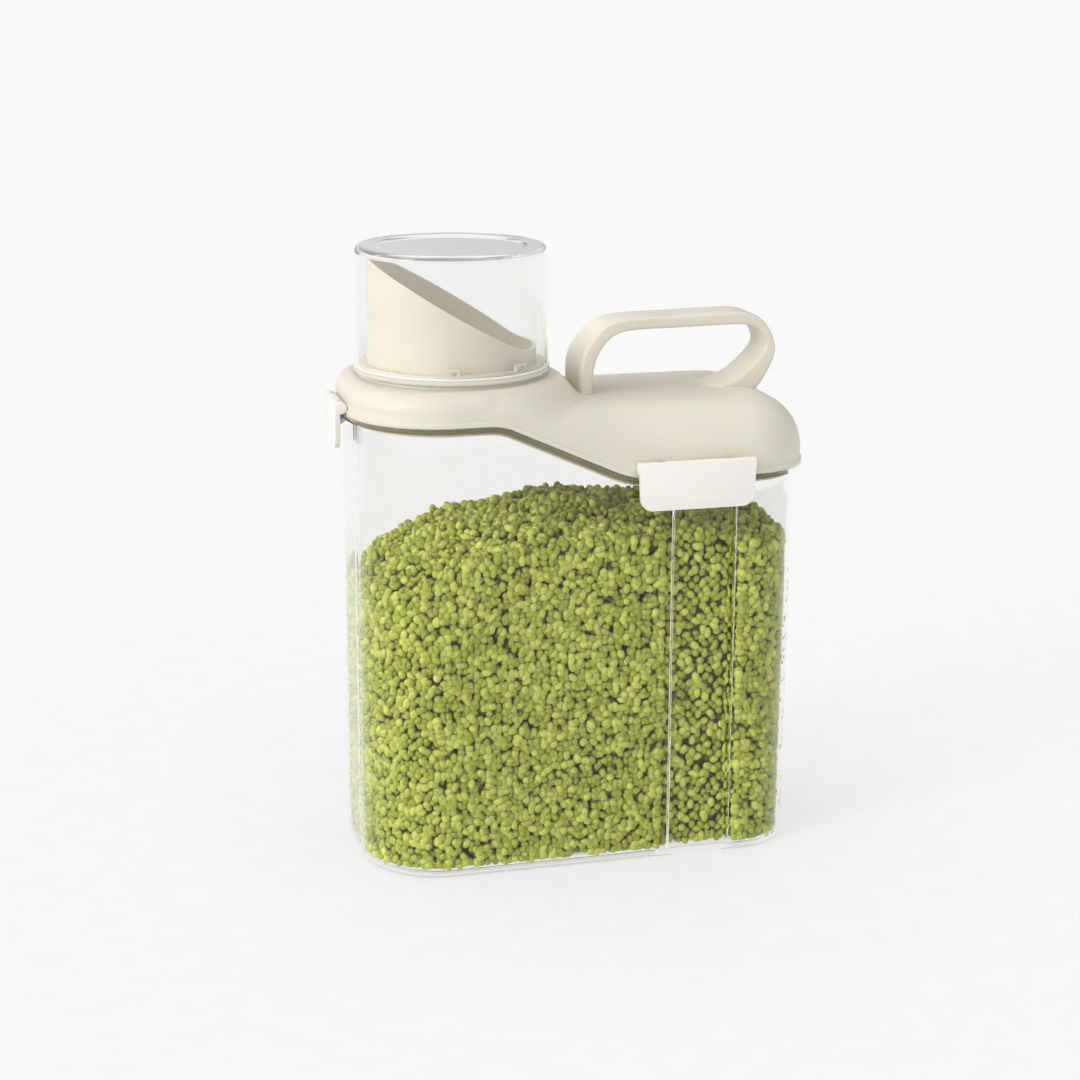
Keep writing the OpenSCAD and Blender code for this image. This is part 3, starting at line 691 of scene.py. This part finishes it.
def baked(ob, name):
    """The evaluated mesh of an object as a plain object of its own."""
    me = evaluated(ob)
    me.name = name
    out = bpy.data.objects.new(name, me)
    bpy.context.scene.collection.objects.link(out)
    bpy.data.objects.remove(ob)
    return out


def note_depth(me, p):
    """Notes on every point how far it lies behind the wall or under the top of the heap, in mm."""
    places = np.empty(3 * len(me.vertices))
    me.vertices.foreach_get("co", places)
    x, y, z = places.reshape(-1, 3).T / MM
    # light gets half a millimetre further down between the beans on top
    depth = np.minimum(wall_room(x, y, z), fill_height(x, y, p) - 0.5 - z)
    noted = me.attributes.new("depth_mm", "FLOAT", "POINT")
    noted.data.foreach_set("value", np.minimum(depth, z - FLOOR))


# ------------------------------------------------------------------- stage

def pale_floor():
    """Matt paper with soft fibres about 17 mm apart, far larger than the picture."""
    mat, t, s, pos = surface("matt_paper_floor")
    fibre = add(t, "ShaderNodeTexNoise", {"Vector": pos, "Scale": 60.0, "Detail": 4.0})
    tint = ramp(t, fibre.outputs["Fac"], [(0.3, (0.29, 0.29, 0.29, 1)), (0.7, (0.31, 0.31, 0.31, 1))])
    t.links.new(tint, s.inputs["Base Color"])
    # lit from below as well, so that shadows stay faint
    s.inputs["Emission Color"].default_value = (1, 1, 1, 1)
    s.inputs["Emission Strength"].default_value = 0.59
    s.inputs["Roughness"].default_value = 1.0
    s.inputs["Specular IOR Level"].default_value = 0.0
    half = 40
    corners = [(-half, -half, 0), (half, -half, 0), (half, half, 0), (-half, half, 0)]
    mesh_object("floor", corners, [(0, 1, 2, 3)], mat)


def soft_studio(scene):
    """A pale, even room to look at, which is dimmer as a light and brighter from above and the left."""
    world = bpy.data.worlds.new("soft_studio")
    world.use_nodes = True
    tree = world.node_tree
    tree.nodes.clear()
    ray = add(tree, "ShaderNodeLightPath")
    way = add(tree, "ShaderNodeTexCoord")

    def room(strength, lean, colour):
        """The room as one kind of ray finds it: its mean strength, which grows along lean."""
        along = add(tree, "ShaderNodeVectorMath", {0: way.outputs["Generated"], 1: lean},
                    operation="DOT_PRODUCT")
        glow = add(tree, "ShaderNodeMath", {0: along.outputs["Value"], 1: strength}, operation="ADD")
        least = add(tree, "ShaderNodeMath", {0: glow.outputs[0], 1: 0.2}, operation="MAXIMUM")
        back = add(tree, "ShaderNodeBackground", {"Color": colour, "Strength": least.outputs[0]})
        return back.outputs[0]

    plain = room(1.0, (0, 0, 0), (0.949, 0.949, 0.949, 1))
    mirrored = room(0.6, (-1.2, 0, 0.5), (1, 1, 1, 1))
    light = room(0.55, (-0.3, -0.15, 0.8), (0.99, 0.995, 1.0, 1))
    # light that has been scattered once or more finds the third room
    once = add(tree, "ShaderNodeMath", {0: ray.outputs["Diffuse Depth"], 1: 1.0}, operation="MINIMUM")
    seen = add(tree, "ShaderNodeMixShader", {0: ray.outputs["Is Reflection Ray"], 1: plain, 2: mirrored})
    both = add(tree, "ShaderNodeMixShader", {0: once.outputs[0], 1: seen.outputs[0], 2: light})
    add(tree, "ShaderNodeOutputWorld", {"Surface": both.outputs[0]})
    scene.world = world


def low_window(scene):
    """The main light: warm and low from the spout's side, as soft as a window 18 degrees across."""
    data = bpy.data.lights.new("low_window_from_left", "SUN")
    data.color = (1, 0.985, 0.965)
    data.energy = 0.92
    data.angle = math.radians(18)
    lamp = bpy.data.objects.new("low_window_from_left", data)
    scene.collection.objects.link(lamp)
    lamp.location = (-2.0, -0.8, 0.85)
    lamp.rotation_euler = (-lamp.location).to_track_quat("-Z", "Y").to_euler()


def front_camera(scene):
    """Looks slightly down at the front from the spout's side."""
    focal_px, frame_px, sensor = 2110, 1080, 36
    cam = bpy.data.cameras.new("front_camera")
    cam.sensor_width = sensor
    cam.lens = focal_px * sensor / frame_px
    cam.shift_x, cam.shift_y = 0.060, -0.130
    cam.clip_start, cam.clip_end = 0.05, 50
    ob = bpy.data.objects.new("front_camera", cam)
    scene.collection.objects.link(ob)
    ob.location = (-0.282, -0.977, 0.432)
    yaw, pitch = math.radians(13.6), math.radians(11.7)
    look = Vector((math.sin(yaw) * math.cos(pitch), math.cos(yaw) * math.cos(pitch), -math.sin(pitch)))
    ob.rotation_euler = look.to_track_quat("-Z", "Y").to_euler()
    scene.camera = ob


# --------------------------------------------------------------- settings

class ContainerSettings(bpy.types.PropertyGroup):
    """Colours of the moulded parts."""
    clear_colour: FloatVectorProperty(name="Clear plastic", description="Tint of the container and the cup",
                                      subtype="COLOR", default=linear("#FBFBFA"), min=0, max=1)
    cream_colour: FloatVectorProperty(name="Lid", description="Colour of the lid, spout and handle",
                                      subtype="COLOR", default=linear("#D7D2C3"), min=0, max=1)
    latch_colour: FloatVectorProperty(name="Latches", description="Colour of the latches",
                                      subtype="COLOR", default=linear("#E9E6E0"), min=0, max=1)
    # the gasket is drawn olive grey rather than milky: painted shade of the gap under the lid's edge, seen
    # through the clear rim
    gasket_colour_with_gap_shade: FloatVectorProperty(name="Gasket", description="Colour of the gasket in the lid",
                                       subtype="COLOR", default=linear("#8F8B6C"), min=0, max=1)
    seal_colour: FloatVectorProperty(name="Seals", description="Colour of the spout's and the cup's seal",
                                     subtype="COLOR", default=linear("#F4F3EE"), min=0, max=1)
    steel_colour: FloatVectorProperty(name="Pins", description="Colour of the hinge pins",
                                      subtype="COLOR", default=linear("#C9CBCD"), min=0, max=1)


class FillSettings(bpy.types.PropertyGroup):
    """The beans inside, which aren't part of the container."""
    bean_length: FloatProperty(name="Bean length", description="Length of one bean", subtype="DISTANCE",
                               default=5.0 * MM, min=2 * MM, max=15 * MM)
    bean_spacing: FloatProperty(name="Spacing", description="Distance between neighbouring beans, in mm",
                                default=3.9, min=2.0, max=12.0)
    size_spread: FloatProperty(name="Size spread", description="How much the beans differ in size",
                               subtype="FACTOR", default=0.14, min=0, max=0.5)
    fill_spout_end: FloatProperty(name="Fill at the spout end",
                                  description="Height of the beans there, in mm",
                                  default=138.0, min=20, max=190)
    fill_crown: FloatProperty(name="Fill in the middle", description="Height of the heap, in mm",
                              default=169.0, min=20, max=185)
    fill_handle_end: FloatProperty(name="Fill at the handle end",
                                   description="Height of the beans there, in mm",
                                   default=158.0, min=20, max=185)
    bean_dark: FloatVectorProperty(name="Darker beans", description="Colour of the greener beans",
                                   subtype="COLOR", default=linear("#98A136"), min=0, max=1)
    bean_light: FloatVectorProperty(name="Lighter beans", description="Colour of the yellower beans",
                                    subtype="COLOR", default=linear("#C4CA60"), min=0, max=1)
    seed: IntProperty(name="Seed", description="Which random filling is drawn", default=7, min=0)


# -------------------------------------------------------------- operators

class ClearPlastic(bpy.types.Operator):
    """Finish the container and the measuring cup in clear plastic"""
    bl_idname = "food_box.clear_plastic"
    bl_label = "Container and cup"

    def execute(self, context):
        mat = clear_styrene(context.scene.container_settings)
        for name in ("container", "measuring_cup"):
            finish_node(name, mat)
        return {"FINISHED"}


class CreamParts(bpy.types.Operator):
    """Finish the lid, the spout and the handle in satin plastic"""
    bl_idname = "food_box.cream_parts"
    bl_label = "Lid, spout and handle"

    def execute(self, context):
        mat = satin_plastic("polypropylene_cream_moulded", context.scene.container_settings.cream_colour)
        finish_node("spout", mat)
        parts = [closed_sheet(lid_rings()), closed_sheet(rib_rings())]
        for side in (-1, 1):
            for eye in (-1, 1):
                place = (SIDE_HINGE_X + eye * SIDE_EYES, side * SIDE_HINGE_Y, SIDE_HINGE_Z)
                parts += hinge_eye(place, (1, 0, 0), (0, -side, 0))
        for eye in (-1, 1):
            parts += hinge_eye((END_HINGE_X, eye * END_EYES, END_HINGE_Z), (0, 1, 0), (1, 0, 0))
        verts, faces = joined(parts)
        lid = mesh_object("lid_shell", [tuple(c * MM for c in v) for v in verts], faces, mat)
        outward(lid)
        # the shoulder stays smooth, and the eyes and the groove keep their edges
        lid.data.set_sharp_from_angle(angle=math.radians(65))
        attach(lid, "lid")
        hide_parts("lid")
        verts, faces = strap_mesh()
        strap = mesh_object("handle_strap", [tuple(c * MM for c in v) for v in verts], faces, mat)
        outward(strap)
        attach(strap, "lid")
        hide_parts("handle")
        return {"FINISHED"}


class Latches(bpy.types.Operator):
    """Finish the three latches"""
    bl_idname = "food_box.latches"
    bl_label = "Latches"

    def execute(self, context):
        mat = satin_plastic("ABS_white_moulded", context.scene.container_settings.latch_colour,
                            grain=1300.0, rough=0.34)
        rounding = 0.45 * MM
        for name in ("end_latch", "front_latch", "back_latch"):
            latch = softened(name, rounding, mat)
            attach(latch, name)
            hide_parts(name)
        return {"FINISHED"}


class Seals(bpy.types.Operator):
    """Finish the gasket and the two seals in silicone"""
    bl_idname = "food_box.seals"
    bl_label = "Gasket and seals"

    def execute(self, context):
        p = context.scene.container_settings
        # the gasket's olive grey is partly painted shade of the gap under the lid's edge
        finish_node("lid_gasket", silicone_rubber("silicone_gap_shaded_moulded", p.gasket_colour_with_gap_shade))
        milky = silicone_rubber("silicone_milky_moulded", p.seal_colour)
        finish_node("spout_seal", milky)
        finish_node("cup_seal", milky)
        return {"FINISHED"}


class Pins(bpy.types.Operator):
    """Finish the hinge pins in drawn steel"""
    bl_idname = "food_box.pins"
    bl_label = "Hinge pins"

    def execute(self, context):
        mat = drawn_steel(context.scene.container_settings)
        for name in ("end_latch_pin", "front_latch_pin", "back_latch_pin"):
            finish_node(name, mat)
        return {"FINISHED"}


class Beans(bpy.types.Operator):
    """Fill the container with beans, which aren't part of it"""
    bl_idname = "food_box.beans"
    bl_label = "Beans"

    def execute(self, context):
        p = context.scene.fill_settings
        mat = bean_skin(p)
        bean = bpy.data.objects.new("one_bean", bean_mesh())
        places = bean_places(p)
        host = mesh_object("beans_fill_points", [tuple(c) for c in places], [])
        tree = scatter_tree(bean, mat)
        mod = host.modifiers.new("scatter", "NODES")
        mod.node_group = tree
        given = {"Bean length": p.bean_length, "Size spread": p.size_spread, "Seed": p.seed}
        for item in tree.interface.items_tree:
            if item.in_out == "INPUT" and item.name in given:
                mod[item.identifier] = given[item.name]
        beans = baked(host, "beans_fill")
        note_depth(beans.data, p)
        bpy.data.objects.remove(bean)
        self.core(p, beans_in_the_shade(p))
        return {"FINISHED"}

    def core(self, p, mat):
        """The beans that can't be seen, as one dark heap behind the ones that can."""
        # in mm: how far it stays inside the container's plan and under the top, and its corners' radius
        inset, under, r = 7.5, 5.0, 26.0
        rings, turns = 14, 96
        hl, hw = BIN_LENGTH / 2 - inset, BIN_WIDTH / 2 - inset - 1.0
        edge = []
        for k in range(turns):
            a = math.tau * k / turns
            cx, cy = math.copysign(hl - r, math.cos(a)), math.copysign(hw - r, math.sin(a))
            edge.append((cx + r * math.cos(a), cy + r * math.sin(a)))
        verts, faces = [], []
        for j in range(rings):
            s = 1 - j / rings
            for x, y in edge:
                z = float(fill_height(np.array(x * s), np.array(y * s), p)) - under
                verts.append((x * s * MM, y * s * MM, z * MM))
        for j in range(rings - 1):
            for k in range(turns):
                m = (k + 1) % turns
                faces.append((j * turns + k, j * turns + m, (j + 1) * turns + m, (j + 1) * turns + k))
        faces.append(tuple((rings - 1) * turns + k for k in range(turns)))
        low = len(verts)
        verts += [(x * MM, y * MM, (FLOOR + 4.5) * MM) for x, y in edge]
        for k in range(turns):
            m = (k + 1) % turns
            faces.append((k, low + k, low + m, m))
        faces.append(tuple(low + k for k in reversed(range(turns))))
        return mesh_object("beans_fill_core", verts, faces, mat)


class Stage(bpy.types.Operator):
    """Set the floor, the light and the camera"""
    bl_idname = "food_box.stage"
    bl_label = "Floor, light and camera"

    def execute(self, context):
        pale_floor()
        soft_studio(context.scene)
        low_window(context.scene)
        front_camera(context.scene)
        context.scene.view_settings.view_transform = "Standard"
        return {"FINISHED"}


class ContainerPanel(bpy.types.Panel):
    """The container's pieces and settings"""
    bl_idname = "VIEW3D_PT_food_box"
    bl_label = "Container"
    bl_space_type = "VIEW_3D"
    bl_region_type = "UI"
    bl_category = "Container"

    def draw(self, context):
        for group in (context.scene.container_settings, context.scene.fill_settings):
            box = self.layout.box()
            for name in group.__annotations__:
                box.prop(group, name)
        for op in OPERATORS:
            self.layout.operator(op.bl_idname)


OPERATORS = (ClearPlastic, CreamParts, Latches, Seals, Pins, Beans, Stage)
CLASSES = (ContainerSettings, FillSettings, *OPERATORS, ContainerPanel)


def register():
    for c in CLASSES:
        bpy.utils.register_class(c)
    bpy.types.Scene.container_settings = PointerProperty(type=ContainerSettings)
    bpy.types.Scene.fill_settings = PointerProperty(type=FillSettings)


def unregister():
    del bpy.types.Scene.fill_settings
    del bpy.types.Scene.container_settings
    for c in reversed(CLASSES):
        bpy.utils.unregister_class(c)


def main():
    register()
    for op in OPERATORS:
        getattr(bpy.ops.food_box, op.bl_idname.split(".")[1])()


if __name__ == "__main__":
    main()
